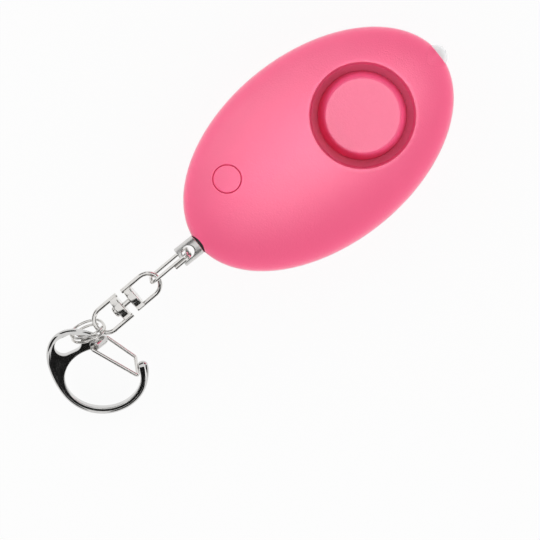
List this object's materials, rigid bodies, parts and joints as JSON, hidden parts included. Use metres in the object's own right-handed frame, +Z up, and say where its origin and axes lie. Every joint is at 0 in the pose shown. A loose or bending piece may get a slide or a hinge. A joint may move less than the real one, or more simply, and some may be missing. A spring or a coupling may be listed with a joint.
{
  "type": "personal safety alarm",
  "caption": "Egg-shaped personal alarm with a round sounder, push button, tip lamp and pull pin, on a metal chain with a swivel, a split ring and a wire-gate clasp.",
  "frame": {"origin": "middle of the flat rest face under the case", "axes": "+X along the case towards the lamp, +Z up through the sounder, -X towards the chain and clasp"},
  "size_m": [0.1087, 0.0412, 0.019],
  "materials": {
    "pink_abs": "satin",
    "gasket": "matte",
    "brass": "satin",
    "ceramic": "matte",
    "wire": "satin",
    "black_plastic": "satin",
    "board": "satin",
    "coil": "satin",
    "lamp_lens": "gloss",
    "steel": "satin",
    "nickel": "polished",
    "dark_nickel": "polished"
  },
  "bodies": {
    "case": {"front_shell": "pink_abs", "rear_shell": "pink_abs", "sounder_cap": "pink_abs", "sounder_gasket": "gasket", "piezo_plate": "brass", "piezo_ceramic": "ceramic", "sounder_wires": "wire", "switch_body": "black_plastic", "circuit_board": "board", "driver_chip": "black_plastic", "drive_coil": "coil", "lamp": "lamp_lens", "lamp_leads": "steel", "battery_tray": "black_plastic", "button_cells": "steel", "positive_contact": "steel", "negative_contact": "steel", "contact_bridges": "steel", "pin_socket": "black_plastic", "pin_contacts": "brass", "case_screws": "steel"},
    "button": {"push_button": "pink_abs", "switch_plunger": "black_plastic"},
    "pull_pin": {"pin_plug": "black_plastic", "pin_shaft": "steel", "pin_cap": "nickel"},
    "link": {"oval_link": "nickel"},
    "swivel_upper": {"swivel_upper_loop": "nickel", "swivel_rivet": "nickel"},
    "swivel_lower": {"swivel_lower_loop": "nickel"},
    "ring": {"split_ring": "nickel"},
    "clasp": {"clasp_body": "dark_nickel"},
    "gate": {"clasp_gate": "nickel"}
  },
  "joints": [
    {"name": "button_press", "type": "slide", "parent": "case", "child": "button", "axis": [0, 0, -1], "range_m": [0, 0.0005], "stiffness_N_per_m": 800},
    {"name": "pin_pull", "type": "slide", "parent": "case", "child": "pull_pin", "axis": [-1, 0, 0], "range_m": [0, 0.014]},
    {"name": "link_swing", "type": "hinge", "parent": "pull_pin", "child": "link", "pos_m": [-0.035, 0, 0.0088], "axis": [0, 0, 1], "range_deg": [-60, 60]},
    {"name": "loop_tilt", "type": "hinge", "parent": "link", "child": "swivel_upper", "pos_m": [-0.0435, -0.0003, 0.00625], "axis": [-0.065, 0.9255, 0.3732], "range_deg": [-40, 40]},
    {"name": "swivel_spin", "type": "hinge", "parent": "swivel_upper", "child": "swivel_lower", "pos_m": [-0.0435, -0.0003, 0.00625], "axis": [-0.9956, -0.0348, -0.0872], "continuous": true},
    {"name": "ring_swing", "type": "hinge", "parent": "swivel_lower", "child": "ring", "pos_m": [-0.06013, -0.00088, 0.00479], "axis": [-0.0349, 0.9994, 0], "range_deg": [-20, 30]},
    {"name": "clasp_swing", "type": "hinge", "parent": "ring", "child": "clasp", "pos_m": [-0.06559, 0.00058, 0.00531], "axis": [-0.0524, 0.4131, -0.9092], "range_deg": [0, 25]},
    {"name": "gate_open", "type": "hinge", "parent": "clasp", "child": "gate", "pos_m": [-0.06182, -0.00353, 0.00507], "axis": [0.6574, -0.0319, -0.7528], "range_deg": [0, 25], "stiffness_Nm_per_rad": 0.02}
  ]
}
